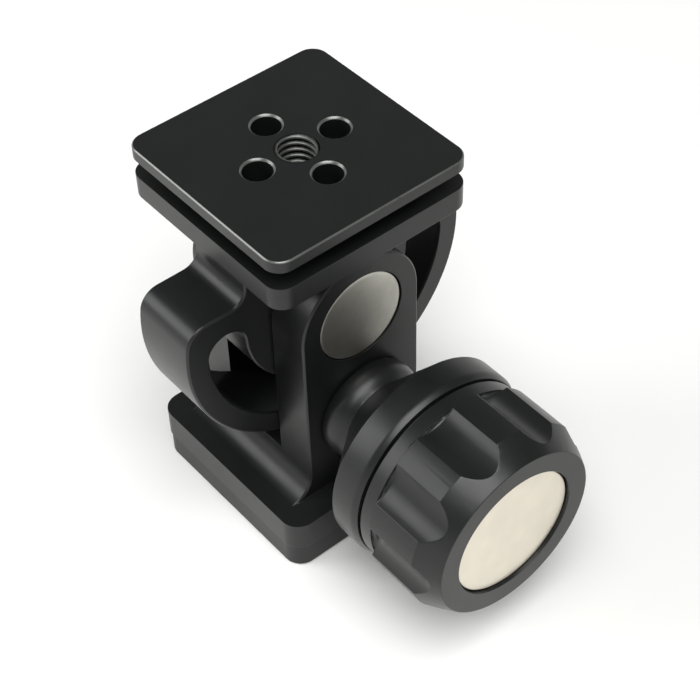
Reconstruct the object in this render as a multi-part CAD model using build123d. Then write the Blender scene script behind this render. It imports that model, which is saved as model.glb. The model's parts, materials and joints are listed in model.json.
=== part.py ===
"""Single-axis tilt bracket: a machined clevis base, a tilting arm with a curved clamping
slot, and a large fluted clamping knob.

Units are millimetres.  The origin is on the base's bottom face, at the mouth of its central
thread.  +Z is up, the tilt axis and the knob axis lie along Y, and the knob is at -Y.
"""
import math
import os

from build123d import *

# ---- plates ---------------------------------------------------------------------------
plate_size = 50.0            # side of the square top plate and of the arm's own plate
plate_corner = 4.0           # corner radius of both upper plates
top_sheet = 2.8              # thickness of the top plate's outer sheet
plate_groove = 4.3           # height of the groove round the top plate's neck
plate_neck = 36.0            # side of the square neck inside the groove
plate_neck_corner = 3.0
arm_plate = 5.8              # thickness of the plate that the arm carries
base_size = 51.0             # side of the square base
base_corner = 4.5
base_slab = 7.8              # thickness of the base under the ears
foot_sheet = 6.2             # thickness of the foot plate below the base
foot_inset = 0.3             # how far the foot plate stands inside the base's outline
bright_chamfer = 0.3         # bevel round the top plate's upper edge
edge_break = 0.4             # bevel on the other outer edges

# ---- pivot and arm --------------------------------------------------------------------
pivot_height = 60.0          # tilt axis above the bottom face
plate_rise = 20.5            # underside of the arm's plate above the tilt axis
arm_width = 16.8             # thickness of the arm along the tilt axis
slot_radius = 26.8           # middle of the curved slot, from the tilt axis
ring_wall = 5.5              # wall of the ring outside the slot
slot_reach = 88.0            # degrees from straight down to each end of the slot
neck_half = 21.4             # half width of the arm just under its plate
shoulder_rise = 9.8          # top of the ring's shoulders above the tilt axis
shoulder_round = 5.0         # radius that turns the shoulder into the ring
neck_fillet = 3.5            # radius between the neck's side and the shoulder

# ---- clevis ---------------------------------------------------------------------------
ear_gap = 0.35               # clearance between the arm and each ear
ear_thickness = 10.5
ear_half = 15.7              # half width of an ear, and radius of its round top
ear_foot_fillet = 6.0        # radius between the ears and the base
saddle_gap = 1.7             # clearance between the ring and the saddle under it

# ---- pivot bolt, bushes and friction washers ------------------------------------------
pin_radius = 6.0
pin_end_radius = 5.0         # thread at the bolt's rear end
disc_radius = 10.8           # polished discs that show in both ears
disc_thickness = 3.0
disc_gap = 0.25              # gap round each disc
disc_soft = 0.25             # bevel on each disc's rim
pin_end_short = 1.0          # how far the bolt's threaded end stops inside the ear's side
bush_wall = 2.0
bush_flange = 2.2            # how far a bush's flange stands out beyond its body
bush_flange_thickness = 1.0
bush_length = 6.0
pin_running = 0.05           # radial running clearance of the pin in its bushes
washer_thickness = 0.3
washer_inner = 10.6
washer_outer = 15.0

# ---- clamp bolt -----------------------------------------------------------------------
bolt_radius = 4.0            # M8
bolt_clearance = 0.2
bolt_head_flats = 13.0
bolt_head_height = 5.3
head_pocket_gap = 0.1
head_joint = 1.0             # overlap of the bolt's shank with its head
sleeve_wall = 0.45
sleeve_gap = 0.25            # clearance between the sleeve and the slot's walls
stop_screw_radius = 2.0      # M4
stop_screw_depth = 8.0
stop_screw_head = 3.5
stop_screw_head_height = 4.0
stop_screw_socket = 3.0      # across flats
stop_screw_socket_depth = 2.0
stop_washer_radius = 7.0
stop_washer_thickness = 1.5
clamp_travel = 2.5           # how far the knob backs off before it meets the stop washer
stop_gap = 0.2               # space left between them at that point

# ---- knob -----------------------------------------------------------------------------
thrust_radius = 10.0
thrust_thickness = 1.5
thrust_recess = 1.2          # depth of the washer's seat in the front ear
thrust_side_gap = 0.3
stem_radius = 12.1           # barrel of the collar, next to the ear
stem_crown = 0.25            # how far the barrel swells at its middle
stem_shoulder = 11.6         # where the barrel turns in towards the waist
stem_waist = 10.6            # narrowest part of the stem
stem_barrel = 5.0            # length of the barrel
stem_length = 7.6            # from the ear side to the sharp ridge behind the flange
flange_radius = 23.5
flange_cone = 9.7            # length of the flange's sloping back
flange_band = 5.6            # width of the flange's plain rim
flange_step = 1.9            # length of the shallow bevel in front of the rim
flange_fall = 0.7            # how far that bevel runs in
knob_gap = 0.45              # width of the dark groove between collar and knob
knob_groove_depth = 1.1      # below the plain band
knob_groove_half = 0.25      # each piece's share of the groove's width
band_step = 0.9              # how far the plain band behind the flutes lies below the lands
band_length = 3.3
relief_width = 0.35          # fine groove between the band and the flutes
relief_depth = 0.4
land_radius = 23.5           # crests between the flutes
land_length = 13.4
cone_length = 5.8            # large front bevel
cone_fall = 3.1              # how far the bevel runs in, to the flat front ring
flute_count = 9
flute_depth = 2.0
flute_half_angle = 12.0
flute_phase = 104.0          # angle of one flute's middle, from +X towards +Z
flute_root_round = 0.8       # fillet at the rear end of each flute
cap_radius = 15.3
cap_thickness = 2.2
cap_gap = 0.2                # gap round the cap
cap_sink = 0.8               # how far the cap lies below the front ring
cap_ledge = 1.4              # ledge that the cap seats on
cap_soft = 0.3               # bevel on the cap's rim
knob_wall = 4.0              # wall between the collar and the knob's hollow
insert_radius = 7.0
insert_back = 4.4            # plain stem behind the threaded insert
insert_short = 0.9           # how far the insert stops behind the knob's inner wall
insert_running = 0.06        # radial clearance of the insert's thread on the bolt
knob_screw_circle = 10.6     # radius of the three joining screws' circle
knob_screw_radius = 1.5      # M3
knob_screw_head = 2.75
knob_screw_head_height = 3.0
knob_screw_length = 9.0
knob_screw_count = 3
screw_joint = 0.5            # overlap of each joining screw's shank with its head

# ---- threads, accessory holes and plate screws ----------------------------------------
thread_radius = 4.7625       # 3/8"-16, at the thread's roots
relief_radius = 5.3          # free space for a screw's end behind each thread
top_relief = 6.5             # its depth below the top plate
foot_relief = 8.0            # its depth above the foot plate
hole_circle = 10.0           # radius of the four accessory holes' circle
hole_radius = 3.2
hole_mouth = 0.45            # bevel at each accessory hole
hole_tail = 5.0              # depth of the accessory holes in the arm's plate
plate_screw_radius = 2.0     # M4 countersunk
plate_screw_head = 4.0
plate_screw_clearance = 0.2
screw_socket_flats = 2.5
screw_socket_depth = 1.3
top_screw_pitch = 28.0
top_screw_length = 10.0
foot_screw_pitch = 34.0
foot_screw_length = 11.0

# ---- places worked out from the sizes above -------------------------------------------
base_top = foot_sheet + base_slab
arm_plate_under = pivot_height + plate_rise
arm_plate_top = arm_plate_under + arm_plate
sheet_under = arm_plate_top + plate_groove
top_face = sheet_under + top_sheet
arm_half = arm_width / 2
ear_inner = arm_half + ear_gap
ear_face = ear_inner + ear_thickness
sleeve_radius = bolt_radius + sleeve_wall
slot_half = sleeve_radius + sleeve_gap
hub_radius = slot_radius - slot_half
ring_inner = slot_radius + slot_half
ring_outer = ring_inner + ring_wall
saddle_top = pivot_height - ring_outer - saddle_gap
clamp_height = pivot_height - slot_radius

stem_back = ear_face - thrust_recess + thrust_thickness
ridge = stem_back + stem_length
flange_back = ridge + flange_cone
flange_front = flange_back + flange_band
collar_front = flange_front + flange_step
knob_back = collar_front + knob_gap
land_back = knob_back + band_length
land_front = land_back + land_length
knob_front = land_front + cone_length
hollow_back = knob_back + knob_wall
insert_start = stem_back + insert_back
insert_end = hollow_back - insert_short
band_radius = land_radius - band_step
front_radius = land_radius - cone_fall
knob_groove_radius = band_radius - knob_groove_depth
flange_front_radius = flange_radius - flange_fall
bolt_end = hollow_back + clamp_travel + stop_gap
cap_front = knob_front - cap_sink
cap_back = cap_front - cap_thickness


# ---- helpers --------------------------------------------------------------------------
def slab(side, corner, bottom, top):
    """Square plate with rounded corners between two heights."""
    return Pos(0, 0, bottom) * extrude(RectangleRounded(side, side, corner), top - bottom)


def y_prism(face, back, front):
    """Push an XZ outline from y = back towards -Y, as far as y = -front."""
    plane = Plane(origin=(0, back, 0), x_dir=(1, 0, 0), z_dir=(0, -1, 0))
    return extrude(plane * face, back + front)


def y_rod(radius, back, front, height, x=0.0):
    """Round bar along Y from y = back to y = -front, at a height."""
    return Pos(x, (back - front) / 2, height) * Rot(90, 0, 0) * Cylinder(radius, back + front)


def y_turned(points, height):
    """Turn a closed outline of (radius, distance in front) points about an axis along Y."""
    corners = [(radius, -front) for radius, front in points]
    return Pos(0, 0, height) * revolve(make_face(Polyline(*corners, close=True)), Axis.Y)


def polar(radius, degrees, height=0.0):
    """Point at an angle about the tilt axis, in the XZ outline plane."""
    angle = math.radians(degrees)
    return (radius * math.cos(angle), height + radius * math.sin(angle))


def square_places(pitch):
    """Four places on a square pattern."""
    return [(x * pitch / 2, y * pitch / 2) for x in (-1, 1) for y in (-1, 1)]


def countersunk_screw(length):
    """Countersunk screw with a hex socket: flat head at z = 0 facing down, shank up."""
    cone = plate_screw_head - plate_screw_radius
    outline = [(0, 0), (plate_screw_head, 0), (plate_screw_radius, cone),
               (plate_screw_radius, length), (0, length)]
    body = revolve(Plane.XZ * make_face(Polyline(*outline, close=True)), Axis.Z)
    socket = extrude(RegularPolygon(screw_socket_flats / math.sqrt(3), 6), screw_socket_depth)
    return body - socket


def countersunk_hole(depth):
    """Cutter for a countersunk screw's clearance hole, from z = 0 upwards."""
    radius = plate_screw_radius + plate_screw_clearance
    head = plate_screw_head + plate_screw_clearance
    outline = [(0, 0), (head, 0), (radius, head - radius), (radius, depth), (0, depth)]
    return revolve(Plane.XZ * make_face(Polyline(*outline, close=True)), Axis.Z)


def screw_set(pitch, length, height):
    """The same screw at four places."""
    return [Pos(x, y, height) * countersunk_screw(length) for x, y in square_places(pitch)]


def accessory_holes(radius, bottom, top):
    """Four holes round the top thread, at 0, 90, 180 and 270 degrees."""
    holes = []
    for index in range(4):
        x, y = polar(hole_circle, 90 * index)
        holes.append(Pos(x, y, (bottom + top) / 2) * Cylinder(radius, top - bottom))
    return holes


def mouth_cone(radius, width, height):
    """Cutter for a 45 degree bevel round a hole's mouth at a height."""
    return Pos(0, 0, height - width / 2) * Cone(radius, radius + width, width)


# ---- pieces of the tilting arm --------------------------------------------------------
def arm_outline():
    """Neck, shoulders and ring, as one closed outline in the XZ plane."""
    round_x = math.sqrt((ring_outer - shoulder_round) ** 2 - (shoulder_rise - shoulder_round) ** 2)
    round_z = shoulder_rise - shoulder_round
    scale = ring_outer / (ring_outer - shoulder_round)
    corner = math.radians((90 + math.degrees(math.atan2(round_z, round_x))) / 2)

    def at(x, rise):
        return (x, pivot_height + rise)

    def half(side):
        """Points down one side: neck, fillet, shoulder and the round into the ring."""
        fillet_x = neck_half + neck_fillet * (1 - math.sqrt(0.5))
        fillet_z = shoulder_rise + neck_fillet * (1 - math.sqrt(0.5))
        return {
            "top": at(side * neck_half, plate_rise + arm_plate / 2),
            "neck": at(side * neck_half, shoulder_rise + neck_fillet),
            "fillet": at(side * fillet_x, fillet_z),
            "shoulder": at(side * (neck_half + neck_fillet), shoulder_rise),
            "round": at(side * round_x, shoulder_rise),
            "round_mid": at(side * (round_x + shoulder_round * math.cos(corner)),
                            round_z + shoulder_round * math.sin(corner)),
            "ring": at(side * round_x * scale, round_z * scale),
        }

    left, right = half(-1), half(1)
    lines = [Line(right["top"], left["top"])]
    for side in (left, right):
        lines += [
            Line(side["top"], side["neck"]),
            ThreePointArc(side["neck"], side["fillet"], side["shoulder"]),
            Line(side["shoulder"], side["round"]),
            ThreePointArc(side["round"], side["round_mid"], side["ring"]),
        ]
    lines.append(ThreePointArc(left["ring"], at(0, -ring_outer), right["ring"]))
    return make_face(lines)


def slot_outline():
    """The curved slot: an arc about the tilt axis with round ends."""
    start, end = -90 - slot_reach, -90 + slot_reach
    overrun = math.degrees(slot_half / slot_radius)

    def at(radius, degrees):
        return polar(radius, degrees, pivot_height)

    def tip(degrees, way):
        """Middle of a round end: half the slot's width beyond the end's centre."""
        x, z = at(slot_radius, degrees)
        tangent = math.radians(degrees + 90 * way)
        return (x + slot_half * math.cos(tangent), z + slot_half * math.sin(tangent))

    if slot_reach + overrun >= 180:
        raise ValueError("the slot's ends meet")
    return make_face([
        ThreePointArc(at(ring_inner, start), at(ring_inner, -90), at(ring_inner, end)),
        ThreePointArc(at(ring_inner, end), tip(end, 1), at(hub_radius, end)),
        ThreePointArc(at(hub_radius, end), at(hub_radius, -90), at(hub_radius, start)),
        ThreePointArc(at(hub_radius, start), tip(start, -1), at(ring_inner, start)),
    ])


def make_tilt_arm():
    ring = y_prism(arm_outline() - slot_outline(), arm_half, arm_half)
    curved = [e for e in ring.edges().filter_by(GeomType.CIRCLE)
              if abs(abs(e.center().Y) - arm_half) < 0.01]
    curved = [e for e in curved if abs(e.radius - ring_outer) < 0.01 or e.radius <= ring_inner + 0.01]
    flat = [e for e in ring.edges().filter_by(GeomType.LINE).filter_by(Axis.X)
            if abs(e.center().Z - pivot_height - shoulder_rise) < 0.01]
    ring = chamfer(curved + flat, edge_break)
    plate = slab(plate_size, plate_corner, arm_plate_under, arm_plate_top)
    plate = chamfer(plate.faces().sort_by(Axis.Z)[0].edges(), edge_break)
    arm = ring + plate
    bush_outer = pin_radius + pin_running + bush_wall
    flange_seat = bush_outer + bush_flange
    arm -= y_rod(bush_outer, arm_half, arm_half, pivot_height)
    for side in (-1, 1):
        middle = side * (arm_half - bush_flange_thickness / 2)
        arm -= Pos(0, middle, pivot_height) * Rot(90, 0, 0) * Cylinder(flange_seat,
                                                                      bush_flange_thickness)
    arm -= Pos(0, 0, arm_plate_top - top_relief / 2) * Cylinder(relief_radius, top_relief)
    for hole in accessory_holes(hole_radius, arm_plate_top - hole_tail, arm_plate_top):
        arm -= hole
    for x, y in square_places(top_screw_pitch):
        arm -= Pos(x, y, arm_plate_under) * countersunk_hole(arm_plate)
    return arm


def make_top_plate():
    sheet = slab(plate_size, plate_corner, sheet_under, top_face)
    sheet = chamfer(sheet.faces().sort_by(Axis.Z)[-1].edges(), bright_chamfer)
    plate = sheet + slab(plate_neck, plate_neck_corner, arm_plate_top, sheet_under)
    plate -= Pos(0, 0, (arm_plate_top + top_face) / 2) * Cylinder(thread_radius,
                                                                 top_face - arm_plate_top)
    for hole in accessory_holes(hole_radius, arm_plate_top, top_face):
        plate -= hole
    for index in range(4):
        x, y = polar(hole_circle, 90 * index)
        plate -= Pos(x, y, 0) * mouth_cone(hole_radius, hole_mouth, top_face)
    thread_end = arm_plate_under + top_screw_length
    for x, y in square_places(top_screw_pitch):
        depth = thread_end - arm_plate_top
        plate -= Pos(x, y, arm_plate_top + depth / 2) * Cylinder(plate_screw_radius, depth)
    return plate


def make_bush(side):
    """Flanged bush pressed into one side of the hub."""
    inner = pin_radius + pin_running
    outer = inner + bush_wall
    face = arm_half
    outline = [(inner, face), (outer + bush_flange, face),
               (outer + bush_flange, face - bush_flange_thickness),
               (outer, face - bush_flange_thickness), (outer, face - bush_length),
               (inner, face - bush_length)]
    return y_turned([(radius, -side * front) for radius, front in outline], pivot_height)


# ---- pieces of the base ---------------------------------------------------------------
def ear_outline():
    """Both ears' outline in the XZ plane: round top, straight sides, flared foot."""
    flare = ear_foot_fillet
    toe = ear_half + flare
    knee = base_top + flare
    bend = flare * (1 - math.sqrt(0.5))
    buried = base_top - base_slab / 2
    lines = [Line((-toe, buried), (toe, buried))]
    for side in (-1, 1):
        lines += [
            Line((side * toe, buried), (side * toe, base_top)),
            ThreePointArc((side * toe, base_top), (side * (ear_half + bend), base_top + bend),
                          (side * ear_half, knee)),
            Line((side * ear_half, knee), (side * ear_half, pivot_height)),
        ]
    lines.append(ThreePointArc((-ear_half, pivot_height), (0, pivot_height + ear_half),
                               (ear_half, pivot_height)))
    return make_face(lines)


def hex_prism(flats, back, front, height):
    """Hexagonal bar along Y with its flats up and down."""
    face = RegularPolygon(flats / math.sqrt(3), 6)
    return y_prism(Pos(0, height) * face, back, front)


def make_base_body():
    ears = y_prism(ear_outline(), ear_face, ear_face)
    rim = [e for e in ears.edges() if abs(abs(e.center().Y) - ear_face) < 0.01
           and e.center().Z > base_top + ear_foot_fillet]
    ears = chamfer(rim, edge_break)
    base = slab(base_size, base_corner, foot_sheet, base_top)
    for face in (base.faces().sort_by(Axis.Z)[-1], base.faces().sort_by(Axis.Z)[0]):
        base = chamfer(face.edges(), edge_break)
    body = base + ears
    slot_height = pivot_height + 2 * ear_half - saddle_top
    body -= Pos(0, 0, saddle_top + slot_height / 2) * Box(base_size, 2 * ear_inner, slot_height)
    body -= y_rod(pin_radius, ear_face, ear_face, pivot_height)
    seat = disc_radius + disc_gap
    body -= y_rod(seat, ear_face, disc_thickness - ear_face, pivot_height)
    body -= y_rod(seat, disc_thickness - ear_face, ear_face, pivot_height)
    body -= y_rod(bolt_radius + bolt_clearance, ear_face, ear_face, clamp_height)
    pocket = bolt_head_height + 2 * head_pocket_gap
    body -= hex_prism(bolt_head_flats + 2 * head_pocket_gap, ear_face, pocket - ear_face,
                      clamp_height)
    body -= y_rod(thrust_radius + thrust_side_gap, thrust_recess - ear_face, ear_face,
                  clamp_height)
    body -= Pos(0, 0, foot_sheet + foot_relief / 2) * Cylinder(relief_radius, foot_relief)
    for x, y in square_places(foot_screw_pitch):
        depth = foot_screw_length - foot_sheet
        body -= Pos(x, y, foot_sheet + depth / 2) * Cylinder(plate_screw_radius, depth)
    return body


def make_foot_plate():
    side = base_size - 2 * foot_inset
    plate = slab(side, base_corner - foot_inset, 0, foot_sheet)
    for face in (plate.faces().sort_by(Axis.Z)[-1], plate.faces().sort_by(Axis.Z)[0]):
        plate = chamfer(face.edges(), edge_break)
    plate -= Pos(0, 0, foot_sheet / 2) * Cylinder(thread_radius, foot_sheet)
    for x, y in square_places(foot_screw_pitch):
        plate -= Pos(x, y, 0) * countersunk_hole(foot_sheet)
    return plate


def make_pivot_bolt():
    """Disc head in the front ear, plain pin, and a threaded rear end."""
    head_back = ear_face - disc_thickness
    end = -(ear_face - disc_thickness)
    tail = -(ear_face - pin_end_short)
    return y_turned([(0, ear_face), (disc_radius - disc_soft, ear_face),
                     (disc_radius, ear_face - disc_soft),
                     (disc_radius, head_back), (pin_radius, head_back), (pin_radius, end),
                     (pin_end_radius, end), (pin_end_radius, tail), (0, tail)], pivot_height)


def make_pivot_end_disc():
    """Disc nut on the pivot bolt's rear end."""
    inner = -(ear_face - disc_thickness)
    outer = -ear_face
    floor = -(ear_face - pin_end_short)
    return y_turned([(0, floor), (pin_end_radius, floor), (pin_end_radius, inner),
                     (disc_radius, inner), (disc_radius, outer + disc_soft),
                     (disc_radius - disc_soft, outer), (0, outer)], pivot_height)


def make_friction_washer(side):
    inner, outer = ear_inner - washer_thickness, ear_inner
    return y_turned([(washer_inner, -side * inner), (washer_outer, -side * inner),
                     (washer_outer, -side * outer), (washer_inner, -side * outer)], pivot_height)


def make_clamp_bolt():
    """Hex head in the rear ear, plain shank, and a drilled free end."""
    seat = ear_face - bolt_head_height - 2 * head_pocket_gap
    head = hex_prism(bolt_head_flats, seat + bolt_head_height, -seat, clamp_height)
    bolt = head + y_rod(bolt_radius, seat + head_joint, bolt_end, clamp_height)
    return bolt - y_rod(stop_screw_radius, stop_screw_depth - bolt_end, bolt_end, clamp_height)


def make_slot_sleeve():
    """Thin sleeve on the bolt, where it runs in the arm's slot."""
    return y_turned([(bolt_radius, -ear_inner), (sleeve_radius, -ear_inner),
                     (sleeve_radius, ear_inner), (bolt_radius, ear_inner)], clamp_height)


def make_stop_washer():
    back, front = bolt_end, bolt_end + stop_washer_thickness
    return y_turned([(stop_screw_radius, back), (stop_washer_radius, back),
                     (stop_washer_radius, front), (stop_screw_radius, front)], clamp_height)


def make_stop_screw():
    """Cap screw that holds the stop washer on the clamp bolt's end."""
    tip = bolt_end - stop_screw_depth
    seat = bolt_end + stop_washer_thickness
    end = seat + stop_screw_head_height
    screw = y_turned([(0, tip), (stop_screw_radius, tip), (stop_screw_radius, seat),
                     (stop_screw_head, seat), (stop_screw_head, end), (0, end)], clamp_height)
    return screw - hex_prism(stop_screw_socket, stop_screw_socket_depth - end, end, clamp_height)


# ---- pieces of the knob ---------------------------------------------------------------
def make_thrust_washer():
    back = ear_face - thrust_recess
    inner = bolt_radius + bolt_clearance
    return y_turned([(inner, back), (thrust_radius, back), (thrust_radius, stem_back),
                     (inner, stem_back)], clamp_height)


def make_knob_collar():
    """Swelling stem, waist, sharp ridge and flange, turned in one piece."""
    bore = bolt_radius + 2 * bolt_clearance
    barrel_end = stem_back + stem_barrel
    waist = (barrel_end + ridge) / 2

    def at(radius, front):
        return (radius, -front)

    stem = [
        ThreePointArc(at(stem_radius, stem_back),
                      at(stem_radius + stem_crown, stem_back + stem_barrel / 2),
                      at(stem_shoulder, barrel_end)),
        Line(at(stem_shoulder, barrel_end), at(stem_waist, waist)),
        Line(at(stem_waist, waist), at(stem_radius, ridge)),
    ]
    flange = Polyline(
        at(stem_radius, ridge), at(flange_radius, flange_back), at(flange_radius, flange_front),
        at(flange_front_radius, collar_front - knob_groove_half),
        at(knob_groove_radius, collar_front - knob_groove_half),
        at(knob_groove_radius, collar_front), at(bore, collar_front), at(bore, stem_back),
        at(stem_radius, stem_back))
    collar = Pos(0, 0, clamp_height) * revolve(make_face(stem + [flange]), Axis.Y)
    collar -= y_rod(insert_radius, -insert_start, collar_front, clamp_height)
    for x, z in knob_screw_places():
        collar -= y_rod(knob_screw_radius, knob_screw_length - hollow_back, collar_front, z, x)
    return collar


def knob_screw_places():
    """Centres (x, z) of the screws that join the knob to its collar."""
    return [polar(knob_screw_circle, 90 + 360 * k / knob_screw_count, clamp_height)
            for k in range(knob_screw_count)]


def flute_cutter_radius():
    """Radius of the cutter whose groove is flute_depth deep and meets the lands on edge."""
    root = land_radius - flute_depth
    cosine = math.cos(math.radians(flute_half_angle))
    return (root ** 2 + land_radius ** 2 - 2 * root * land_radius * cosine) / (
        2 * (land_radius * cosine - root))


def make_knob_body():
    seat = cap_radius + cap_gap
    hollow = cap_radius - cap_ledge
    body = y_turned([
        (insert_radius, collar_front), (knob_groove_radius, collar_front),
        (knob_groove_radius, knob_back), (band_radius, knob_back), (band_radius, land_back),
        (band_radius - relief_depth, land_back),
        (band_radius - relief_depth, land_back + relief_width),
        (land_radius, land_back + relief_width), (land_radius, land_front),
        (front_radius, knob_front),
        (seat, knob_front), (seat, cap_back), (hollow, cap_back), (hollow, hollow_back),
        (insert_radius, hollow_back)], clamp_height)
    radius = flute_cutter_radius()
    reach = land_radius - flute_depth + radius
    cutter = y_rod(radius, -land_back, knob_front + cap_thickness, 0)
    cutter = fillet(cutter.edges().filter_by(GeomType.CIRCLE).sort_by(Axis.Y)[-1],
                    flute_root_round)
    for index in range(flute_count):
        x, z = polar(reach, flute_phase + 360 * index / flute_count, clamp_height)
        body -= Pos(x, 0, z) * cutter
    for x, z in knob_screw_places():
        body -= y_rod(knob_screw_radius, -collar_front, hollow_back, z, x)
    return body


def make_knob_insert():
    """Threaded brass insert that runs on the clamp bolt."""
    inner = bolt_radius + insert_running
    return y_turned([(inner, insert_start), (insert_radius, insert_start),
                     (insert_radius, insert_end), (inner, insert_end)], clamp_height)


def make_knob_screws():
    screws = []
    tip = hollow_back - knob_screw_length
    for x, z in knob_screw_places():
        shank = y_rod(knob_screw_radius, -tip, hollow_back + screw_joint, z, x)
        head = y_rod(knob_screw_head, -hollow_back, hollow_back + knob_screw_head_height, z, x)
        screws.append(shank + head)
    return screws


def make_knob_cap():
    return y_turned([(0, cap_back), (cap_radius, cap_back), (cap_radius, cap_front - cap_soft),
                     (cap_radius - cap_soft, cap_front), (0, cap_front)], clamp_height)


# ---- write every piece ----------------------------------------------------------------
pieces = {
    "base_body": make_base_body(),
    "foot_plate": make_foot_plate(),
    "foot_plate_screws": screw_set(foot_screw_pitch, foot_screw_length, 0),
    "pivot_bolt": make_pivot_bolt(),
    "pivot_end_disc": make_pivot_end_disc(),
    "friction_washer_front": make_friction_washer(-1),
    "friction_washer_rear": make_friction_washer(1),
    "clamp_bolt": make_clamp_bolt(),
    "slot_sleeve": make_slot_sleeve(),
    "stop_washer": make_stop_washer(),
    "stop_screw": make_stop_screw(),
    "tilt_arm": make_tilt_arm(),
    "top_plate": make_top_plate(),
    "top_plate_screws": screw_set(top_screw_pitch, top_screw_length, arm_plate_under),
    "pivot_bush_front": make_bush(-1),
    "pivot_bush_rear": make_bush(1),
    "thrust_washer": make_thrust_washer(),
    "knob_collar": make_knob_collar(),
    "knob_body": make_knob_body(),
    "knob_insert": make_knob_insert(),
    "knob_screws": make_knob_screws(),
    "knob_cap": make_knob_cap(),
}

os.makedirs("parts", exist_ok=True)
for name, piece in pieces.items():
    solids = piece if isinstance(piece, list) else piece.solids()
    export_step(Compound(children=list(solids)), f"parts/{name}.step")
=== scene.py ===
"""Studio scene of a black anodised tilt bracket: finishes, rounded edges, threads and knob.

The file is laid out as a Blender add-on and is run as a script.  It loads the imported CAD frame,
models the surfaces that show round it, and sets up a plain studio.  Lengths are in metres.
"""
import json
import math

import bpy
from bpy.props import FloatProperty, FloatVectorProperty, PointerProperty
from mathutils import Matrix, Vector


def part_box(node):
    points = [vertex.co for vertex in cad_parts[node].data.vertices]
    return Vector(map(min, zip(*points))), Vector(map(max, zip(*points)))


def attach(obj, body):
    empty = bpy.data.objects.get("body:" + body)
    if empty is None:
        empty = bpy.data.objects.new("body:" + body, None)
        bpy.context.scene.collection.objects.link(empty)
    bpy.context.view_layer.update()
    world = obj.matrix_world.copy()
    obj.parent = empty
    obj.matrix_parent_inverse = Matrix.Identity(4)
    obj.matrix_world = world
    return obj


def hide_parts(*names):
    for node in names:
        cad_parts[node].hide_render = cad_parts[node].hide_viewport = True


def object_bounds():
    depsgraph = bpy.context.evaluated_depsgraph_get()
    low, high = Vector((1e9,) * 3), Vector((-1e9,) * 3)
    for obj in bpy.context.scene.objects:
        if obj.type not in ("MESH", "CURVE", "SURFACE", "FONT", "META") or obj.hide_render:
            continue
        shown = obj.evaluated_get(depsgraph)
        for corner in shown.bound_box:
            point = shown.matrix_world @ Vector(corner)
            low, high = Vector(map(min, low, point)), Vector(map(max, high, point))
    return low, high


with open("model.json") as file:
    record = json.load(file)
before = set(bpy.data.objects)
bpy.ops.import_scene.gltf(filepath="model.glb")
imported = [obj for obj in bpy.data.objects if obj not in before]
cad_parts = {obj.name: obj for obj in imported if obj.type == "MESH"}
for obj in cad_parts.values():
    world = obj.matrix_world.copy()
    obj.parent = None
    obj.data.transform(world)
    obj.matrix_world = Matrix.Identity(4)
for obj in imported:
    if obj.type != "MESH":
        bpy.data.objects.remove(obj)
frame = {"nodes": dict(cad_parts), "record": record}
cad_low, cad_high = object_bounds()

bl_info = {
    "name": "Tilt bracket studio",
    "version": (1, 0, 0),
    "blender": (4, 5, 0),
    "location": "3D View > Sidebar > Bracket",
    "description": "Finishes, edges, threads and knob of a tilt bracket, built round its CAD frame",
    "category": "Object",
}

MM = 0.001

# Index of refraction of the dyed skin, chosen with its colour to give the satin black.
DYED_SKIN_IOR = 1.45

# The pivot's two discs, and the pin that joins them.
DISC_THICKNESS = 3.0 * MM
PIN_RADIUS = 6.0 * MM
PIN_END_RADIUS = 5.0 * MM
PIN_TAPER = 2.0 * MM
DISC_ROUND = 0.1 * MM

# Soft boxes: name, place, width and height, and power in watts.
SOFTBOXES = (("key softbox", (-0.66, 0.54, 0.56), (0.55, 0.6), 4.4),
             ("top softbox", (-0.25, -0.45, 1.25), (1.0, 1.0), 19))
LIT_POINT = (0, 0, 0.05)

# The surroundings glow fully up to the first height above the horizon, and dimly past the second.
GLOW_HEIGHTS = (0.05, 0.35)
GLOW_STRENGTHS = (1.0, 0.2)


# ---- colours and node helpers ----------------------------------------------------------
def linear(hex_colour):
    """An sRGB hex colour as linear red, green and blue."""
    values = [int(hex_colour[i:i + 2], 16) / 255 for i in (0, 2, 4)]
    return [v / 12.92 if v <= 0.04045 else ((v + 0.055) / 1.055) ** 2.4 for v in values]


def add_node(tree, kind, settings=None, links=None):
    """Add a node.  Settings name its inputs or properties; links join outputs to its inputs."""
    node = tree.nodes.new(kind)
    for key, value in (settings or {}).items():
        if key in node.inputs:
            node.inputs[key].default_value = value
        else:
            setattr(node, key, value)
    for key, output in (links or {}).items():
        tree.links.new(output, node.inputs[key])
    return node


def start_material(name, colour, roughness, metallic=0.0, ior=1.5):
    """A new material with a plain shader, and the object's own coordinates."""
    material = bpy.data.materials.new(name)
    material.use_nodes = True
    tree = material.node_tree
    shader = tree.nodes["Principled BSDF"]
    shader.inputs["Base Color"].default_value = (*colour, 1)
    shader.inputs["Roughness"].default_value = roughness
    shader.inputs["Metallic"].default_value = metallic
    shader.inputs["IOR"].default_value = ior
    place = add_node(tree, "ShaderNodeTexCoord").outputs["Object"]
    return material, tree, shader, place


def mix_colours(tree, factor, low, high):
    """Blend two colours by a factor output."""
    mix = add_node(tree, "ShaderNodeMix", {"data_type": "RGBA"})
    mix.inputs[6].default_value = (*low, 1)
    mix.inputs[7].default_value = (*high, 1)
    tree.links.new(factor, mix.inputs[0])
    return mix.outputs[2]


def spread(tree, value, low, high, to_low, to_high):
    """Carry a value from one range to another."""
    settings = {"From Min": low, "From Max": high, "To Min": to_low, "To Max": to_high}
    return add_node(tree, "ShaderNodeMapRange", settings, {"Value": value}).outputs["Result"]


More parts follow.
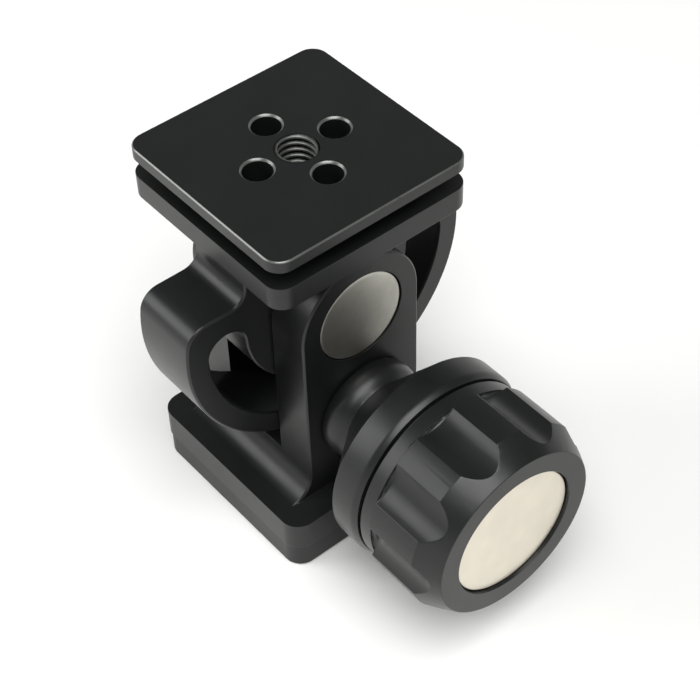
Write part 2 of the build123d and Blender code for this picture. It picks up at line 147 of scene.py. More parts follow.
# ---- materials -------------------------------------------------------------------------
def blasted_black_anodise(name, colour, roughness):
    """Aluminium, milled, bead-blasted and dyed black in the anodising bath.

    The blasting leaves a satin skin of tiny dimples, and the dye takes a little unevenly.
    """
    material, tree, shader, place = start_material(name, colour, roughness, ior=DYED_SKIN_IOR)
    # Blasting dimples are about 0.1 mm; they are drawn at 0.25 mm so that they show.
    grit = add_node(tree, "ShaderNodeTexNoise", {"Scale": 1 / (0.25 * MM), "Detail": 3.0},
                    {"Vector": place}).outputs["Fac"]
    cloud = add_node(tree, "ShaderNodeTexNoise", {"Scale": 1 / (9 * MM), "Detail": 4.0},
                     {"Vector": place}).outputs["Fac"]
    paler = [min(1.0, 1.12 * c) for c in colour]
    tree.links.new(mix_colours(tree, spread(tree, cloud, 0.35, 0.7, 0.0, 1.0), colour, paler),
                   shader.inputs["Base Color"])
    tree.links.new(spread(tree, cloud, 0.3, 0.7, roughness - 0.02, roughness + 0.02),
                   shader.inputs["Roughness"])
    bump = add_node(tree, "ShaderNodeBump", {"Strength": 0.12, "Distance": 0.02 * MM},
                    {"Height": grit})
    tree.links.new(bump.outputs["Normal"], shader.inputs["Normal"])
    return material


def turned_black_anodise(name, colour, roughness, height):
    """Aluminium turned on a lathe, lightly blasted and anodised black.

    Under the satin skin the feed lines of the tool still run round the axis.
    """
    material, tree, shader, place = start_material(name, colour, roughness, ior=DYED_SKIN_IOR)
    grit = add_node(tree, "ShaderNodeTexNoise", {"Scale": 1 / (0.25 * MM), "Detail": 3.0},
                    {"Vector": place}).outputs["Fac"]
    cloud = add_node(tree, "ShaderNodeTexNoise", {"Scale": 1 / (7 * MM), "Detail": 4.0},
                     {"Vector": place}).outputs["Fac"]
    centred = add_node(tree, "ShaderNodeMapping", {"Location": (0, 0, -height)},
                       {"Vector": place}).outputs["Vector"]
    split = add_node(tree, "ShaderNodeSeparateXYZ", links={"Vector": centred}).outputs
    flat = add_node(tree, "ShaderNodeCombineXYZ", links={"X": split["X"], "Z": split["Z"]})
    radius = add_node(tree, "ShaderNodeVectorMath", {"operation": "LENGTH"})
    tree.links.new(flat.outputs["Vector"], radius.inputs[0])
    along = add_node(tree, "ShaderNodeMath", {"operation": "ADD"})
    tree.links.new(radius.outputs["Value"], along.inputs[0])
    tree.links.new(split["Y"], along.inputs[1])
    # The feed is 0.2 mm a turn; the lines are drawn 0.35 mm apart so that they show.
    lines = add_node(tree, "ShaderNodeMath", {"operation": "MULTIPLY"})
    lines.inputs[1].default_value = 2 * math.pi / (0.35 * MM)
    tree.links.new(along.outputs["Value"], lines.inputs[0])
    wave = add_node(tree, "ShaderNodeMath", {"operation": "SINE"})
    tree.links.new(lines.outputs["Value"], wave.inputs[0])
    blend = add_node(tree, "ShaderNodeMath", {"operation": "MULTIPLY_ADD"})
    tree.links.new(wave.outputs["Value"], blend.inputs[0])
    blend.inputs[1].default_value = 0.08
    tree.links.new(grit, blend.inputs[2])
    paler = [min(1.0, 1.12 * c) for c in colour]
    tree.links.new(mix_colours(tree, spread(tree, cloud, 0.35, 0.7, 0.0, 1.0), colour, paler),
                   shader.inputs["Base Color"])
    tree.links.new(spread(tree, cloud, 0.3, 0.7, roughness - 0.02, roughness + 0.02),
                   shader.inputs["Roughness"])
    bump = add_node(tree, "ShaderNodeBump", {"Strength": 0.12, "Distance": 0.02 * MM},
                    {"Height": blend.outputs["Value"]})
    tree.links.new(bump.outputs["Normal"], shader.inputs["Normal"])
    return material


def chamfer_highlight_paint(name, colour, roughness):
    """Pale half-metallic grey on the chamfers: a painted highlight, drawn as a narrow, smooth and
    much brighter line.
    """
    material, tree, shader, place = start_material(name, colour, roughness, metallic=0.55)
    cloud = add_node(tree, "ShaderNodeTexNoise", {"Scale": 1 / (6 * MM), "Detail": 2.0},
                     {"Vector": place}).outputs["Fac"]
    darker = [0.8 * c for c in colour]
    tree.links.new(mix_colours(tree, spread(tree, cloud, 0.35, 0.65, 0.0, 1.0), darker, colour),
                   shader.inputs["Base Color"])
    tree.links.new(spread(tree, cloud, 0.3, 0.7, roughness - 0.03, roughness + 0.03),
                   shader.inputs["Roughness"])
    return material


def tapped_thread(name, root, crest, inner, outer):
    """Thread tapped in black anodised aluminium: screws have worn its crests to bare metal."""
    material, tree, shader, place = start_material(name, crest, 0.38, metallic=0.6)
    split = add_node(tree, "ShaderNodeSeparateXYZ", links={"Vector": place}).outputs
    flat = add_node(tree, "ShaderNodeCombineXYZ", links={"X": split["X"], "Y": split["Y"]})
    radius = add_node(tree, "ShaderNodeVectorMath", {"operation": "LENGTH"})
    tree.links.new(flat.outputs["Vector"], radius.inputs[0])
    depth = spread(tree, radius.outputs["Value"], inner, outer, 0.0, 1.0)
    scuff = add_node(tree, "ShaderNodeTexNoise", {"Scale": 1 / (0.8 * MM), "Detail": 4.0},
                     {"Vector": place}).outputs["Fac"]
    worn = add_node(tree, "ShaderNodeMath", {"operation": "MULTIPLY_ADD"})
    tree.links.new(scuff, worn.inputs[0])
    worn.inputs[1].default_value = 0.5
    tree.links.new(depth, worn.inputs[2])
    tree.links.new(mix_colours(tree, spread(tree, worn.outputs["Value"], 0.2, 0.9, 0.0, 1.0),
                               crest, root), shader.inputs["Base Color"])
    return material


def brushed_steel(name, colour, roughness, direction):
    """Stainless steel, ground with fine grit in straight strokes and handled since."""
    material, tree, shader, place = start_material(name, colour, roughness, metallic=1.0)
    # The strokes are 0.05 mm apart; they are drawn at 0.15 mm so that they show.
    stretch = [1 / (0.15 * MM)] * 3
    stretch[direction] = 1 / (14 * MM)
    strokes = add_node(tree, "ShaderNodeMapping", {"Scale": stretch}, {"Vector": place})
    grain = add_node(tree, "ShaderNodeTexNoise", {"Scale": 1.0, "Detail": 2.0},
                     {"Vector": strokes.outputs["Vector"]}).outputs["Fac"]
    smudge = add_node(tree, "ShaderNodeTexNoise", {"Scale": 1 / (5 * MM), "Detail": 5.0,
                                                   "Roughness": 0.6},
                      {"Vector": place}).outputs["Fac"]
    darker = [0.88 * c for c in colour]
    tree.links.new(mix_colours(tree, spread(tree, smudge, 0.35, 0.65, 0.0, 1.0), darker, colour),
                   shader.inputs["Base Color"])
    tree.links.new(spread(tree, smudge, 0.3, 0.7, roughness + 0.04, roughness - 0.03),
                   shader.inputs["Roughness"])
    bump = add_node(tree, "ShaderNodeBump", {"Strength": 0.10, "Distance": 0.01 * MM},
                    {"Height": grain})
    tree.links.new(bump.outputs["Normal"], shader.inputs["Normal"])
    return material


def spun_champagne(name, colour, roughness, height):
    """Aluminium disc, face-turned, blasted and anodised champagne: a warm, even satin."""
    material, tree, shader, place = start_material(name, colour, roughness, metallic=0.9)
    cloud = add_node(tree, "ShaderNodeTexNoise", {"Scale": 1 / (6 * MM), "Detail": 3.0},
                     {"Vector": place}).outputs["Fac"]
    grit = add_node(tree, "ShaderNodeTexNoise", {"Scale": 1 / (0.25 * MM), "Detail": 3.0},
                    {"Vector": place}).outputs["Fac"]
    darker = [0.93 * c for c in colour]
    tree.links.new(mix_colours(tree, spread(tree, cloud, 0.3, 0.7, 0.0, 1.0), darker, colour),
                   shader.inputs["Base Color"])
    centred = add_node(tree, "ShaderNodeMapping", {"Location": (0, 0, -height)},
                       {"Vector": place}).outputs["Vector"]
    split = add_node(tree, "ShaderNodeSeparateXYZ", links={"Vector": centred}).outputs
    flat = add_node(tree, "ShaderNodeCombineXYZ", links={"X": split["X"], "Z": split["Z"]})
    radius = add_node(tree, "ShaderNodeVectorMath", {"operation": "LENGTH"})
    tree.links.new(flat.outputs["Vector"], radius.inputs[0])
    # Facing leaves a groove 0.15 mm apart; it is drawn at 0.3 mm so that it shows.
    turns = add_node(tree, "ShaderNodeMath", {"operation": "MULTIPLY"})
    turns.inputs[1].default_value = 2 * math.pi / (0.3 * MM)
    tree.links.new(radius.outputs["Value"], turns.inputs[0])
    wave = add_node(tree, "ShaderNodeMath", {"operation": "SINE"})
    tree.links.new(turns.outputs["Value"], wave.inputs[0])
    blend = add_node(tree, "ShaderNodeMath", {"operation": "MULTIPLY_ADD"})
    tree.links.new(wave.outputs["Value"], blend.inputs[0])
    blend.inputs[1].default_value = 0.1
    tree.links.new(grit, blend.inputs[2])
    bump = add_node(tree, "ShaderNodeBump", {"Strength": 0.10, "Distance": 0.015 * MM},
                    {"Height": blend.outputs["Value"]})
    tree.links.new(bump.outputs["Normal"], shader.inputs["Normal"])
    return material


def machined_metal(name, colour, roughness, grain_mm):
    """Bar metal as it leaves the lathe or the plating bath: bright, with a fine grain."""
    material, tree, shader, place = start_material(name, colour, roughness, metallic=1.0)
    grain = add_node(tree, "ShaderNodeTexNoise", {"Scale": 1 / (grain_mm * MM), "Detail": 4.0},
                     {"Vector": place}).outputs["Fac"]
    darker = [0.8 * c for c in colour]
    tree.links.new(mix_colours(tree, grain, darker, colour), shader.inputs["Base Color"])
    tree.links.new(spread(tree, grain, 0.3, 0.7, roughness - 0.05, roughness + 0.08),
                   shader.inputs["Roughness"])
    bump = add_node(tree, "ShaderNodeBump", {"Strength": 0.1, "Distance": 0.01 * MM},
                    {"Height": grain})
    tree.links.new(bump.outputs["Normal"], shader.inputs["Normal"])
    return material


def black_oxide_steel(name, colour):
    """Alloy steel blackened in a hot salt bath and oiled: near black with a soft sheen."""
    material, tree, shader, place = start_material(name, colour, 0.42, metallic=0.5)
    bloom = add_node(tree, "ShaderNodeTexNoise", {"Scale": 1 / (0.9 * MM), "Detail": 5.0},
                     {"Vector": place}).outputs["Fac"]
    paler = [1.8 * c for c in colour]
    tree.links.new(mix_colours(tree, bloom, colour, paler), shader.inputs["Base Color"])
    tree.links.new(spread(tree, bloom, 0.3, 0.7, 0.34, 0.5), shader.inputs["Roughness"])
    return material


def moulded_nylon(name, colour):
    """Natural nylon, punched from sheet: milky, waxy and slightly uneven."""
    material, tree, shader, place = start_material(name, colour, 0.5, ior=1.53)
    cloud = add_node(tree, "ShaderNodeTexNoise", {"Scale": 1 / (2 * MM), "Detail": 3.0},
                     {"Vector": place}).outputs["Fac"]
    darker = [0.9 * c for c in colour]
    tree.links.new(mix_colours(tree, cloud, darker, colour), shader.inputs["Base Color"])
    return material


# ---- mesh helpers ----------------------------------------------------------------------
def only(piece):
    """Select one object and make it active."""
    bpy.ops.object.select_all(action="DESELECT")
    piece.select_set(True)
    bpy.context.view_layer.objects.active = piece


def settle(piece, name):
    """Name a piece and put its place into its mesh."""
    only(piece)
    bpy.ops.object.transform_apply(location=True, rotation=True, scale=True)
    piece.name = piece.data.name = name
    return piece


def edit_all():
    """Open the active mesh for editing, with all of it selected."""
    bpy.ops.object.mode_set(mode="EDIT")
    bpy.ops.mesh.select_mode(type="VERT")
    bpy.ops.mesh.select_all(action="SELECT")


def close_up(piece):
    """Merge doubled points and turn every face outwards."""
    only(piece)
    edit_all()
    bpy.ops.mesh.remove_doubles(threshold=0.001 * MM)
    bpy.ops.mesh.normals_make_consistent(inside=False)
    bpy.ops.object.mode_set(mode="OBJECT")


def apply_modifier(piece, kind, **settings):
    """Add a modifier with its settings and apply it."""
    only(piece)
    bpy.ops.object.modifier_add(type=kind)
    modifier = piece.modifiers[-1]
    for key, value in settings.items():
        setattr(modifier, key, value)
    bpy.ops.object.modifier_apply(modifier=modifier.name)


def cut(piece, tool, operation="DIFFERENCE"):
    """Cut a piece with a tool solid, and remove the tool."""
    apply_modifier(piece, "BOOLEAN", operation=operation, object=tool, solver="EXACT")
    bpy.data.objects.remove(tool)


def round_edges(piece, width, segments=2, angle=28, material=0):
    """Round every edge sharper than the angle, and smooth it while wide faces stay flat."""
    apply_modifier(piece, "BEVEL", width=width, segments=segments, limit_method="ANGLE",
                   angle_limit=math.radians(angle), use_clamp_overlap=False, material=material,
                   miter_outer="MITER_ARC")
    only(piece)
    bpy.ops.object.shade_smooth_by_angle(angle=math.radians(angle))
    apply_modifier(piece, "WEIGHTED_NORMAL", keep_sharp=True)


def finish_piece(piece, body, materials, replaced=()):
    """Give a piece its body, the CAD nodes it stands for and its materials."""
    piece.data.materials.clear()
    for material in materials:
        piece.data.materials.append(bpy.data.materials[material])
    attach(piece, body)
    if replaced:
        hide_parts(*replaced)
    return piece


def merged_copy(node, name):
    """A copy of a CAD node, its loose triangles merged into whole faces."""
    mesh = frame["nodes"][node].data.copy()
    piece = bpy.data.objects.new(name, mesh)
    mesh.name = name
    bpy.context.scene.collection.objects.link(piece)
    only(piece)
    if mesh.has_custom_normals:
        bpy.ops.mesh.customdata_custom_splitnormals_clear()
    edit_all()
    bpy.ops.mesh.remove_doubles(threshold=0.001 * MM)
    bpy.ops.mesh.dissolve_limited(angle_limit=math.radians(0.5))
    bpy.ops.object.mode_set(mode="OBJECT")
    return piece


def turned(name, outline, height, steps=160):
    """Turn an outline of (radius, y) points about an axis along Y, with a face over each end."""
    radius, y = outline[0]
    bpy.ops.mesh.primitive_circle_add(vertices=steps, radius=radius, location=(0, y, height),
                                      rotation=(math.pi / 2, 0, 0),
                                      fill_type="NGON")
    piece = settle(bpy.context.object, name)
    edit_all()
    for new_radius, new_y in outline[1:]:
        bpy.ops.mesh.extrude_region_move(
            TRANSFORM_OT_translate={"value": (0, new_y - y, 0)})
        scale = new_radius / radius
        bpy.ops.transform.resize(value=(scale, 1, scale), center_override=(0, new_y, height))
        radius, y = new_radius, new_y
    bpy.ops.object.mode_set(mode="OBJECT")
    close_up(piece)
    return piece


def centre(node):
    """Middle of a CAD node's box."""
    low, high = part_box(node)
    return (low + high) / 2


# ---- settings --------------------------------------------------------------------------
class BracketColours(bpy.types.PropertyGroup):
    """Colours of the bracket's finishes."""
    anodise: FloatVectorProperty(
        name="Black anodise", description="Dyed skin of the milled parts", subtype="COLOR",
        default=linear("131414"), min=0, max=1)
    foot: FloatVectorProperty(
        name="Foot plate", description="Deeper black of the foot plate", subtype="COLOR",
        default=linear("101111"), min=0, max=1)
    # Pale grey on the chamfers: a painted highlight.
    edge: FloatVectorProperty(
        name="Chamfer highlight", description="Bright line painted on the chamfers as a highlight", subtype="COLOR",
        default=linear("70726f"), min=0, max=1)
    # Paler black on the bevelled edges: a painted edge highlight.
    edge_highlight: FloatVectorProperty(
        name="Painted edge highlight", description="Edges of the milled parts, painted paler as an edge highlight",
        subtype="COLOR", default=linear("2a2b2b"), min=0, max=1)
    crest: FloatVectorProperty(
        name="Thread crest", description="Bare metal on the thread's crests", subtype="COLOR",
        default=linear("6f716e"), min=0, max=1)
    steel: FloatVectorProperty(
        name="Pivot disc", description="Ground stainless steel", subtype="COLOR",
        default=linear("bdbbb2"), min=0, max=1)
    champagne: FloatVectorProperty(
        name="Knob cap", description="Champagne anodised cap", subtype="COLOR",
        default=linear("e6dfd0"), min=0, max=1)


class BracketSizes(bpy.types.PropertyGroup):
    """Sizes of the details that are modelled on the CAD frame."""
    edge_round: FloatProperty(
        name="Edge rounding", description="Radius left on the milled parts' edges",
        default=0.12 * MM, min=0, unit="LENGTH", precision=5)
    thread_pitch: FloatProperty(
        name="Thread pitch", description="One sixteenth of an inch", default=25.4 / 16 * MM,
        min=0.2 * MM, unit="LENGTH", precision=5)
    thread_root: FloatProperty(
        name="Thread root radius", description="Radius at the thread's roots",
        default=4.7625 * MM, min=MM, unit="LENGTH", precision=5)
    thread_crest: FloatProperty(
        name="Thread crest radius", description="Radius at the thread's crests",
        default=3.97 * MM, min=MM, unit="LENGTH", precision=5)
    thread_mouth: FloatProperty(
        name="Thread countersink", description="How far the top countersink passes the roots",
        default=0.05 * MM, min=0, unit="LENGTH", precision=5)
    disc_dome: FloatProperty(
        name="Disc dome", description="How far the pivot discs' edges fall away",
        default=0.25 * MM, min=0, unit="LENGTH", precision=5)
    knob_round: FloatProperty(
        name="Knob edge rounding", description="Radius left on the knob's edges",
        default=0.14 * MM, min=0, unit="LENGTH", precision=5)
    cap_round: FloatProperty(
        name="Cap rim rounding", description="Radius rolled over the cap's rim",
        default=0.35 * MM, min=0, unit="LENGTH", precision=5)
    hardware_round: FloatProperty(
        name="Hardware rounding", description="Radius left on screws, bolt and washer",
        default=0.08 * MM, min=0, unit="LENGTH", precision=5)


class BracketStudio(bpy.types.PropertyGroup):
    """Camera and lights."""
    azimuth: FloatProperty(
        name="Azimuth", description="Turn of the camera about the vertical",
        default=math.radians(-38.433), subtype="ANGLE")
    elevation: FloatProperty(
        name="Elevation", description="Height of the camera above the horizon",
        default=math.radians(46.063), subtype="ANGLE")
    roll: FloatProperty(
        name="Roll", description="Lean of the camera to one side",
        default=math.radians(-2.014), subtype="ANGLE")
    distance: FloatProperty(
        name="Distance", description="From the camera to its target", default=0.37993,
        unit="LENGTH", precision=5)
    target: FloatVectorProperty(
        name="Target", description="Point that the camera looks at",
        default=(-0.00016, -0.01518, 0.04684), subtype="TRANSLATION", precision=5)
    lens: FloatProperty(
        name="Focal length", description="Focal length on a 36 mm wide sensor", default=90.66,
        unit="CAMERA")


# ---- operators -------------------------------------------------------------------------
class BRACKET_OT_finishes(bpy.types.Operator):
    """Make every material and put it on the CAD nodes"""
    bl_idname = "bracket.finishes"
    bl_label = "Finishes"

    def execute(self, context):
        colours = context.scene.bracket_colours
        sizes = context.scene.bracket_sizes
        knob_height = centre("knob_cap").z
        blasted_black_anodise("Black anodised aluminium, blasted", colours.anodise, 0.36)
        blasted_black_anodise("Black anodised aluminium, foot", colours.foot, 0.42)
        # Paler, glossier black for the bevel faces: a painted edge highlight.
        blasted_black_anodise("Black anodised aluminium, painted edge highlight", colours.edge_highlight, 0.3)
        turned_black_anodise("Black anodised aluminium, turned", colours.anodise, 0.34,
                             knob_height)
        # Pale half-metallic grey for the top chamfers and the countersink: a painted highlight.
        chamfer_highlight_paint("Aluminium, painted chamfer highlight", colours.edge, 0.3)
        tapped_thread("Aluminium, tapped thread", colours.anodise, colours.crest,
                      sizes.thread_crest, sizes.thread_root)
        brushed_steel("Stainless steel, ground", colours.steel, 0.4, 0)
        spun_champagne("Champagne anodised aluminium, faced", colours.champagne, 0.42,
                       knob_height)
        machined_metal("Zinc plated steel", linear("b4b6b8"), 0.32, 0.5)
        machined_metal("Free-cutting brass, turned", linear("c9a24f"), 0.3, 0.4)
        machined_metal("Sintered bronze", linear("8a6238"), 0.45, 0.25)
        black_oxide_steel("Black oxide steel", linear("161617"))
        moulded_nylon("Natural nylon, punched", linear("d9d6cb"))
        finish_of_slot = {
            "black_anodised": "Black anodised aluminium, blasted",
            "foot_black": "Black anodised aluminium, foot",
            "bright_steel": "Stainless steel, ground",
            "champagne": "Champagne anodised aluminium, faced",
            "plain_steel": "Zinc plated steel",
            "black_steel": "Black oxide steel",
            "brass": "Free-cutting brass, turned",
            "bronze": "Sintered bronze",
            "nylon": "Natural nylon, punched",
        }
        for part in frame["record"]["subparts"]:
            mesh = frame["nodes"][part["node"]].data
            mesh.materials.clear()
            mesh.materials.append(bpy.data.materials[finish_of_slot[part["material_slot"]]])
        return {"FINISHED"}


class BRACKET_OT_milled_parts(bpy.types.Operator):
    """Give the milled arm, base and plates their rounded edges, the bevels painted paler as a
    highlight
    """
    bl_idname = "bracket.milled_parts"
    bl_label = "Milled parts"

    def execute(self, context):
        width = context.scene.bracket_sizes.edge_round
        satin = "Black anodised aluminium, blasted"
        foot = "Black anodised aluminium, foot"
        # Second finish for the bevel faces: a painted edge highlight.
        edge_highlight = "Black anodised aluminium, painted edge highlight"
        parts = (("tilt_arm", "tilt_head", "black_anodised", satin),
                 ("base_body", "base", "black_anodised", satin),
                 ("foot_plate", "base", "foot_black", foot))
        for node, body, slot, finish in parts:
            piece = merged_copy(node, node + "_milled")
            round_edges(piece, width, material=1)
            finish_piece(piece, body, [finish, edge_highlight], [node])
        return {"FINISHED"}


class BRACKET_OT_top_plate(bpy.types.Operator):
    """Top plate with a painted highlight on its top chamfers"""
    bl_idname = "bracket.top_plate"
    bl_label = "Top plate"

    def execute(self, context):
        piece = merged_copy("top_plate", "top_plate_milled")
        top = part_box("top_plate")[1].z
        finish_piece(piece, "tilt_head",
                     ["Black anodised aluminium, blasted", "Aluminium, painted chamfer highlight"],
                     ["top_plate"])
        round_edges(piece, 0.5 * context.scene.bracket_sizes.edge_round)
        # Chamfers that face up round the top get the pale grey: a painted highlight.
        for face in piece.data.polygons:
            if 0.4 < face.normal.z < 0.9 and face.center.z > top - MM:
                face.material_index = 1
        return {"FINISHED"}


class BRACKET_OT_threads(bpy.types.Operator):
    """Threads in the mouths of the top plate and the foot plate"""
    bl_idname = "bracket.threads"
    bl_label = "Threads"

    def execute(self, context):
        sizes = context.scene.bracket_sizes
        low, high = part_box("top_plate")
        self.thread(sizes, "top_thread", low.z, high.z, sizes.thread_mouth, "tilt_head")
        low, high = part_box("foot_plate")
        self.thread(sizes, "foot_thread", low.z, high.z, 0, "base")
        return {"FINISHED"}

    def thread(self, sizes, name, bottom, top, mouth, body):
        """Sweep one ridge up a helix and trim it to the hole, countersink and all."""
        pitch, root, crest = sizes.thread_pitch, sizes.thread_root, sizes.thread_crest
        steps = 36
        bpy.ops.mesh.primitive_plane_add(size=1, rotation=(math.pi / 2, 0, 0),
                                         location=((root + crest) / 2, 0, bottom - pitch))
        ridge = bpy.context.object
        ridge.scale = (root - crest, pitch * 0.86, 1)
        settle(ridge, name)
        for corner in ridge.data.vertices:
            if corner.co.x < (root + crest) / 2:
                corner.co.z = bottom - pitch + (corner.co.z - bottom + pitch) * 0.3
            else:
                corner.co.x += 0.04 * MM
        edit_all()
        turns = (top - bottom) / pitch + 2
        for _ in range(round(turns * steps)):
            bpy.ops.mesh.extrude_region_move(
                TRANSFORM_OT_translate={"value": (0, 0, pitch / steps)})
            bpy.ops.transform.rotate(value=-2 * math.pi / steps, orient_axis="Z",
                                     center_override=(0, 0, 0))
        bpy.ops.object.mode_set(mode="OBJECT")
        close_up(ridge)
        depth = top - bottom - 0.1 * MM
        bpy.ops.mesh.primitive_cylinder_add(vertices=96, radius=root + 0.03 * MM, depth=depth,
                                            location=(0, 0, bottom + 0.05 * MM + depth / 2))
        core = settle(bpy.context.object, "core")
        if mouth:
            bpy.ops.mesh.primitive_cone_add(vertices=96, radius1=root + mouth, radius2=0,
                                            depth=root + mouth, rotation=(math.pi, 0, 0),
                                            location=(0, 0, top - (root + mouth) / 2))
            cone = settle(bpy.context.object, "cone")
            bpy.ops.mesh.primitive_cylinder_add(vertices=96, radius=2 * root, depth=2 * root,
                                                location=(0, 0, top - root))
            outside = settle(bpy.context.object, "outside")
            cut(outside, cone)
            above = top - mouth - (root - crest)
            bpy.ops.mesh.primitive_cube_add(size=1, location=(0, 0, above - root))
            below = bpy.context.object
            below.scale = (5 * root, 5 * root, 2 * root)
            settle(below, "below")
            cut(outside, below)
            cut(core, outside)
        cut(ridge, core, "INTERSECT")
        close_up(ridge)
        only(ridge)
        bpy.ops.object.shade_smooth_by_angle(angle=math.radians(28))
        finish_piece(ridge, body,
                     ["Aluminium, tapped thread", "Aluminium, painted chamfer highlight"])
        # The countersink gets the pale grey too: a painted highlight.
        for face in ridge.data.polygons:
            if mouth and abs(face.normal.z - math.sqrt(0.5)) < 0.05:
                face.material_index = 1


class BRACKET_OT_pivot_discs(bpy.types.Operator):
    """Domed steel discs on both ends of the pivot bolt"""
    bl_idname = "bracket.pivot_discs"
    bl_label = "Pivot discs"

    def execute(self, context):
        dome = context.scene.bracket_sizes.disc_dome
        for node, name, side in (("pivot_bolt", "pivot_bolt_turned", -1),
                                 ("pivot_end_disc", "pivot_end_disc_turned", 1)):
            low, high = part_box(node)
            radius = (high.x - low.x) / 2
            height = (high.z + low.z) / 2
            face = low.y if side < 0 else high.y
            back = face - side * DISC_THICKNESS
            crown = [(radius * share, face - side * dome * share ** 2)
                     for share in (0.97, 0.9, 0.75, 0.5, 0.25, 0.05)]
            tail = high.y if side < 0 else back
            shank = [(PIN_END_RADIUS, tail), (PIN_RADIUS, tail - PIN_TAPER),
                     (PIN_RADIUS, back)] if side < 0 else []
            body = shank + [(radius, back), (radius, face - side * 1.3 * dome)] + crown
            piece = turned(name, body, height, steps=128)
            round_edges(piece, DISC_ROUND, segments=2)
            finish_piece(piece, "base", ["Stainless steel, ground"], [node])
        return {"FINISHED"}


class BRACKET_OT_knob(bpy.types.Operator):
    """Knob body, its collar and its champagne cap"""
    bl_idname = "bracket.knob"
    bl_label = "Knob"

    def execute(self, context):
        width = context.scene.bracket_sizes.knob_round
        finishes = ["Black anodised aluminium, turned", "Black anodised aluminium, painted edge highlight"]
        for node, name in (("knob_body", "knob_body_fluted"), ("knob_collar", "collar_turned")):
            piece = merged_copy(node, name)
            # The bevel faces take the second finish, a painted edge highlight.
            round_edges(piece, width, segments=3, material=1)
            finish_piece(piece, "knob", finishes, [node])
        self.cap(context.scene.bracket_sizes.cap_round)
        return {"FINISHED"}

    def cap(self, soft):
        """Faced disc, its rim rolled over a little."""
        low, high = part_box("knob_cap")
        radius = (high.x - low.x) / 2
        outline = [(radius, high.y), (radius, low.y), (radius * 0.7, low.y), (radius * 0.05, low.y)]
        piece = turned("knob_cap_faced", outline, centre("knob_cap").z, steps=160)
        round_edges(piece, soft, segments=4)
        finish_piece(piece, "knob", ["Champagne anodised aluminium, faced"],
                     ["knob_cap"])


class BRACKET_OT_hardware(bpy.types.Operator):
    """Bolt head with turned corners, screws and washer with broken edges"""
    bl_idname = "bracket.hardware"
    bl_label = "Hardware"

    def execute(self, context):
        width = context.scene.bracket_sizes.hardware_round
        bolt = merged_copy("clamp_bolt", "clamp_bolt_hex")
        low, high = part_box("clamp_bolt")
        flat = (high.z - low.z) / 2
        corner = (high.x - low.x) / 2
        fall = (corner - 0.95 * flat) * math.tan(math.radians(30))
        outline = [(2 * corner, low.y - MM), (2 * corner, high.y - fall - corner * math.tan(
            math.radians(30))), (0.95 * flat, high.y)]
        cut(bolt, turned("corners", outline, centre("clamp_bolt").z, steps=96), "INTERSECT")
        close_up(bolt)
        round_edges(bolt, width)
        finish_piece(bolt, "base", ["Zinc plated steel"], ["clamp_bolt"])
        for node, body, slot, finish in (
                ("foot_plate_screws", "base", "black_steel", "Black oxide steel"),
                ("stop_screw", "base", "black_steel", "Black oxide steel"),
                ("thrust_washer", "clamp_washer", "plain_steel", "Zinc plated steel")):
            piece = merged_copy(node, node + "_finished")
            round_edges(piece, width)
            finish_piece(piece, body, [finish], [node])
        return {"FINISHED"}


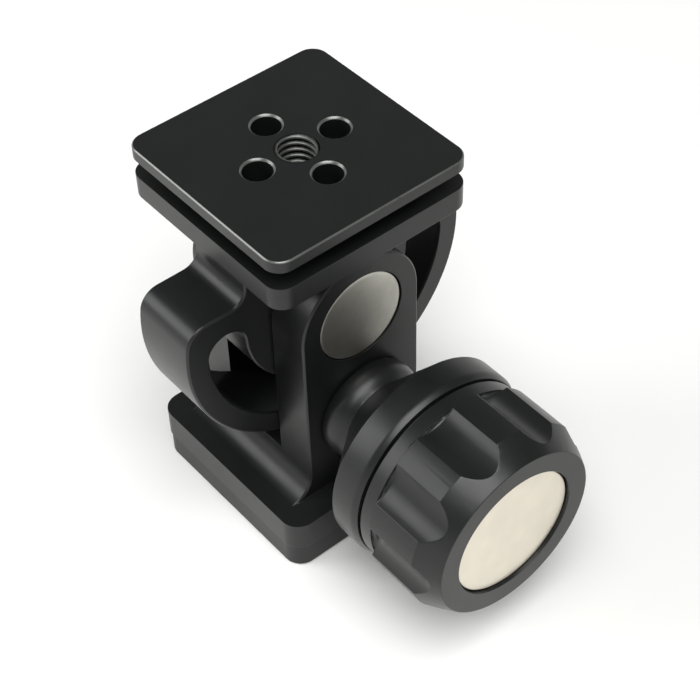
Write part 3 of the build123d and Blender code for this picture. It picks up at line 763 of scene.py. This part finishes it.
class BRACKET_OT_stage(bpy.types.Operator):
    """Pale floor, soft lights and the camera"""
    bl_idname = "bracket.stage"
    bl_label = "Stage"

    def execute(self, context):
        # The standard transform keeps the white paper white; the default one greys it.
        context.scene.view_settings.view_transform = "Standard"
        self.camera(context.scene)
        self.floor()
        for name, place, size, power in SOFTBOXES:
            self.light(name, place, size, power)
        self.world(context.scene)
        return {"FINISHED"}

    def camera(self, scene):
        """Camera on its target, at its azimuth, elevation and roll."""
        studio = scene.bracket_studio
        bpy.ops.object.camera_add()
        camera = bpy.context.object
        camera.name = "studio_camera"
        azimuth, elevation, roll = studio.azimuth, studio.elevation, studio.roll
        back = Vector((math.sin(azimuth) * math.cos(elevation),
                       -math.cos(azimuth) * math.cos(elevation), math.sin(elevation)))
        level = Vector((0, 0, 1)).cross(back).normalized()
        right = Matrix.Rotation(-roll, 3, -back) @ level
        up = back.cross(right)
        place = Vector(studio.target) + studio.distance * back
        turn = Matrix((right, up, back)).transposed().to_4x4()
        camera.matrix_world = Matrix.Translation(place) @ turn
        camera.data.lens = studio.lens
        camera.data.clip_start, camera.data.clip_end = 0.01, 20
        scene.camera = camera

    def floor(self):
        """Wide sheet of matt white paper."""
        bpy.ops.mesh.primitive_plane_add(size=8, location=(0, 0, cad_low.z))
        floor = bpy.context.object
        floor.name = "floor"
        material, tree, shader, place = start_material("White paper", linear("f4f4f2"), 0.85)
        fibre = add_node(tree, "ShaderNodeTexNoise", {"Scale": 1 / (2 * MM), "Detail": 4.0},
                         {"Vector": place}).outputs["Fac"]
        bump = add_node(tree, "ShaderNodeBump", {"Strength": 0.02, "Distance": 0.02 * MM},
                        {"Height": fibre})
        tree.links.new(bump.outputs["Normal"], shader.inputs["Normal"])
        floor.data.materials.append(material)

    def light(self, name, place, size, power):
        """Soft box that faces the object."""
        bpy.ops.object.light_add(type="AREA", location=place)
        lamp = bpy.context.object
        lamp.name = name
        lamp.data.shape = "RECTANGLE"
        lamp.data.size, lamp.data.size_y = size
        lamp.data.energy = power
        aim = Vector(LIT_POINT) - Vector(place)
        lamp.rotation_euler = aim.to_track_quat("-Z", "Y").to_euler()

    def world(self, scene):
        """Bright round the horizon, dim overhead."""
        world = bpy.data.worlds.new("studio")
        world.use_nodes = True
        tree = world.node_tree
        direction = add_node(tree, "ShaderNodeTexCoord").outputs["Generated"]
        height = add_node(tree, "ShaderNodeSeparateXYZ", links={"Vector": direction})
        glow = spread(tree, height.outputs["Z"], *GLOW_HEIGHTS, *GLOW_STRENGTHS)
        tree.links.new(glow, tree.nodes["Background"].inputs["Strength"])
        tree.nodes["Background"].inputs["Color"].default_value = (1, 1, 1, 1)
        scene.world = world


STEPS = ("finishes", "milled_parts", "top_plate", "threads", "pivot_discs", "knob", "hardware",
         "stage")


class BRACKET_PT_panel(bpy.types.Panel):
    """Sidebar panel of the bracket's settings and steps."""
    bl_label = "Tilt bracket"
    bl_space_type = "VIEW_3D"
    bl_region_type = "UI"
    bl_category = "Bracket"

    def draw(self, context):
        for step in STEPS:
            self.layout.operator("bracket." + step)
        for group in (context.scene.bracket_colours, context.scene.bracket_sizes,
                      context.scene.bracket_studio):
            for name in group.bl_rna.properties.keys():
                if name not in ("rna_type", "name"):
                    self.layout.prop(group, name)


CLASSES = (BracketColours, BracketSizes, BracketStudio, BRACKET_OT_finishes,
           BRACKET_OT_milled_parts, BRACKET_OT_top_plate, BRACKET_OT_threads,
           BRACKET_OT_pivot_discs, BRACKET_OT_knob, BRACKET_OT_hardware, BRACKET_OT_stage,
           BRACKET_PT_panel)


def register():
    for cls in CLASSES:
        bpy.utils.register_class(cls)
    bpy.types.Scene.bracket_colours = PointerProperty(type=BracketColours)
    bpy.types.Scene.bracket_sizes = PointerProperty(type=BracketSizes)
    bpy.types.Scene.bracket_studio = PointerProperty(type=BracketStudio)


def unregister():
    del bpy.types.Scene.bracket_studio
    del bpy.types.Scene.bracket_sizes
    del bpy.types.Scene.bracket_colours
    for cls in reversed(CLASSES):
        bpy.utils.unregister_class(cls)


def main():
    """Build everything in order."""
    register()
    for step in STEPS:
        getattr(bpy.ops.bracket, step)()


if __name__ == "__main__":
    main()
